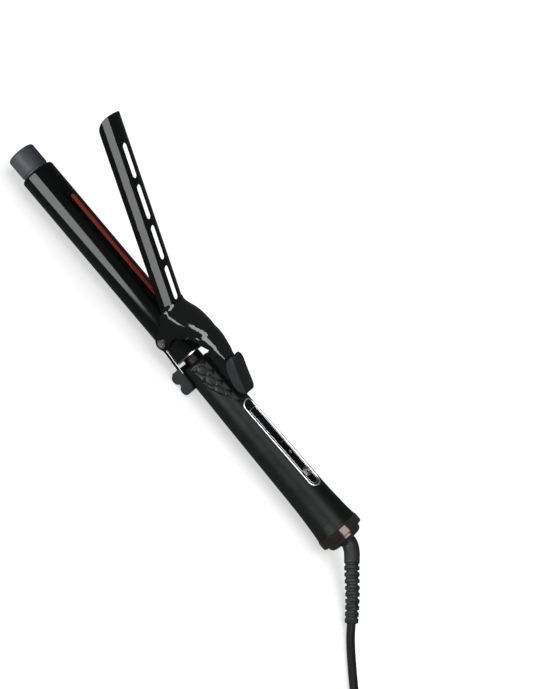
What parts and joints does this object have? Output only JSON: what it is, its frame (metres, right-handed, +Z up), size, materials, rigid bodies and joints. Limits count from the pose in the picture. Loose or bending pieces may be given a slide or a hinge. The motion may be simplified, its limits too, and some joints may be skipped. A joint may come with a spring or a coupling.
{
  "type": "curling iron",
  "caption": "Spring-clamp curling iron with a round barrel and infrared strip, slotted clamp blade with thumb lever, fold-out stand, control panel and swivel cord with plug.",
  "frame": {"origin": "on the table under the middle of the iron's length, on its centre plane, with the iron lying on its folded stand and its rear band", "axes": "+X along the iron from the cool tip to the cord end, +Y to the side, +Z up; the clamp opens upwards"},
  "size_m": [0.596, 0.1304, 0.1057],
  "materials": {
    "barrel_coating": "black ceramic coating, mirror gloss",
    "clamp_lacquer": "black lacquer, mirror gloss",
    "infrared_glass": "dark red quartz glass",
    "bare_aluminium": "bare",
    "heater_ceramic": "white alumina",
    "copper_parts": "copper",
    "tip_plastic": "dark grey heat-resistant plastic, satin",
    "collar_plastic": "black, gloss",
    "neck_steel": "dark brown, satin",
    "steel_strip": "bright strip",
    "screw_nickel": "nickel plated",
    "pad_plastic": "blue-grey, fine matte grain",
    "handle_plastic": "black soft-touch, satin",
    "chrome_trim": "bright chrome plate",
    "panel_gloss": "black, gloss",
    "display_glass": "smoked window",
    "board_green": "solder mask",
    "board_black": "moulded black",
    "wire_red": "silicone sleeve",
    "band_chrome": "dark rose-black chrome",
    "cap_chrome": "dark chrome",
    "guard_rubber": "dark blue-grey, matte",
    "cord_rubber": "black, satin",
    "tie_plastic": "black strap",
    "plug_plastic": "black, fine grain",
    "pin_brass": "nickel-plated brass"
  },
  "bodies": {
    "iron": {"barrel_tube": "barrel_coating", "ir_window": "infrared_glass", "ir_emitter": "infrared_glass", "ir_reflector": "bare_aluminium", "heat_spreader": "bare_aluminium", "ceramic_heater": "heater_ceramic", "temperature_sensor": "copper_parts", "cool_tip": "tip_plastic", "barrel_collar": "collar_plastic", "collar_rim": "steel_strip", "neck_tube": "neck_steel", "pivot_screws": "screw_nickel", "clamp_spring": "steel_strip", "handle_upper_shell": "handle_plastic", "handle_lower_shell": "handle_plastic", "handle_screws": "screw_nickel", "panel_trim_ring": "chrome_trim", "panel_cover": "panel_gloss", "display_window": "display_glass", "circuit_board": "board_green", "board_parts": "board_black", "tact_switches": "board_black", "display_module": "display_glass", "lead_wires": "wire_red", "rear_band": "band_chrome", "end_cap": "cap_chrome"},
    "clamp": {"clamp_blade": "clamp_lacquer", "clamp_lever": "clamp_lacquer", "arm_liner": "collar_plastic", "thumb_pad": "pad_plastic", "blade_rivets": "steel_strip"},
    "stand": {"stand_bracket": "steel_strip", "stand_foot": "pad_plastic"},
    "minus_key": {"minus_button": "panel_gloss"},
    "plus_key": {"plus_button": "panel_gloss"},
    "power_key": {"power_button": "panel_gloss"},
    "swivel": {"swivel_stem": "collar_plastic", "contact_rings": "copper_parts", "cord_guard": "guard_rubber", "cord": "cord_rubber", "cord_coil": "cord_rubber", "cord_tie": "tie_plastic", "plug_body": "plug_plastic", "plug_pins": "pin_brass"}
  },
  "joints": [
    {"name": "clamp_hinge", "type": "hinge", "parent": "iron", "child": "clamp", "pos_m": [-0.01, 0, 0.0166], "axis": [0, 1, 0], "range_deg": [-28.6, 2.5], "stiffness_Nm_per_rad": 0.3, "springref_deg": -45.84},
    {"name": "stand_hinge", "type": "hinge", "parent": "iron", "child": "stand", "pos_m": [-0.01, 0, 0.0166], "axis": [0, 1, 0], "range_deg": [0, 95]},
    {"name": "minus_press", "type": "slide", "parent": "iron", "child": "minus_key", "axis": [0, 0, -1], "range_m": [0, 0.0005], "stiffness_N_per_m": 800, "springref_m": -0.001},
    {"name": "plus_press", "type": "slide", "parent": "iron", "child": "plus_key", "axis": [0, 0, -1], "range_m": [0, 0.0005], "stiffness_N_per_m": 800, "springref_m": -0.001},
    {"name": "power_press", "type": "slide", "parent": "iron", "child": "power_key", "axis": [0, 0, -1], "range_m": [0, 0.0005], "stiffness_N_per_m": 800, "springref_m": -0.001},
    {"name": "cord_swivel", "type": "hinge", "parent": "iron", "child": "swivel", "pos_m": [0.176, 0, 0.0166], "axis": [1, 0, 0], "continuous": true}
  ]
}
